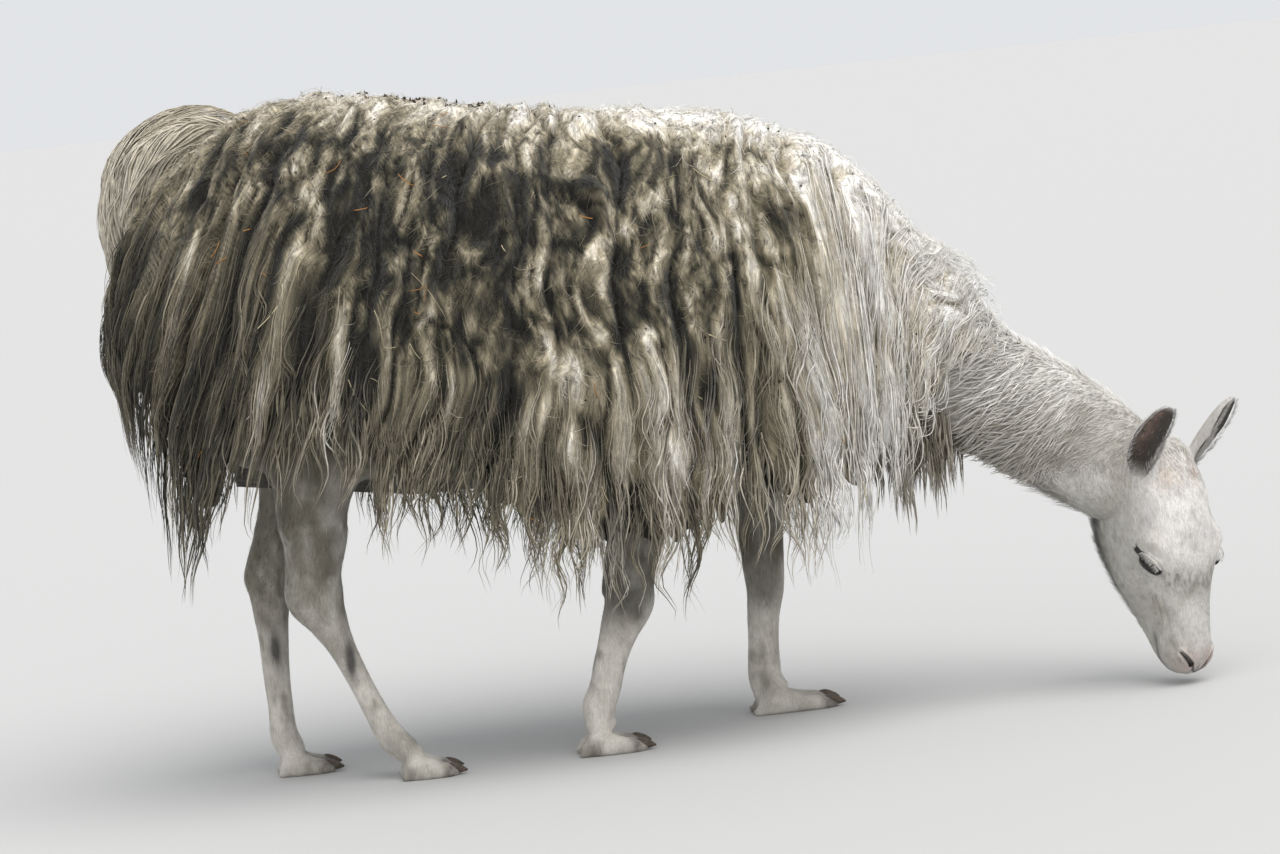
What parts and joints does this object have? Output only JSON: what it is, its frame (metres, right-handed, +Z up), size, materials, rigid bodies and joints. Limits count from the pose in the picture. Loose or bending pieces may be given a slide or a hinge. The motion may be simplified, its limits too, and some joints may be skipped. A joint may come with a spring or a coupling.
{
  "type": "llama figure",
  "caption": "Still, life-size llama in a heavy matted fleece, grazing with its neck stretched down and its head turned to its right, on flat soles.",
  "frame": {"origin": "on the floor, under the middle of the model's box", "axes": "+X forwards, from tail to head, along the longest extent; +Y to the animal's left; +Z up"},
  "size_m": [1.9004, 0.6152, 1.1664],
  "materials": {
    "matted_fleece": "matted, dirty wool",
    "short_coat": "short pale hair",
    "tail_coat": "long pale hair",
    "ear_coat": "thin short hair over skin",
    "eye_gloss": "wet gloss",
    "nail_horn": "dull horn"
  },
  "bodies": {
    "root": {"trunk": "matted_fleece", "skirt_right": "matted_fleece", "skirt_left": "matted_fleece", "neck": "short_coat", "head": "short_coat", "tail": "tail_coat", "ear_right": "ear_coat", "ear_left": "ear_coat", "eye_right": "eye_gloss", "eye_left": "eye_gloss", "leg_hind_right": "short_coat", "nail_hind_right_right": "nail_horn", "nail_hind_right_left": "nail_horn", "leg_hind_left": "short_coat", "nail_hind_left_right": "nail_horn", "nail_hind_left_left": "nail_horn", "leg_fore_right": "short_coat", "nail_fore_right_right": "nail_horn", "nail_fore_right_left": "nail_horn", "leg_fore_left": "short_coat", "nail_fore_left_right": "nail_horn", "nail_fore_left_left": "nail_horn"}
  },
  "joints": []
}
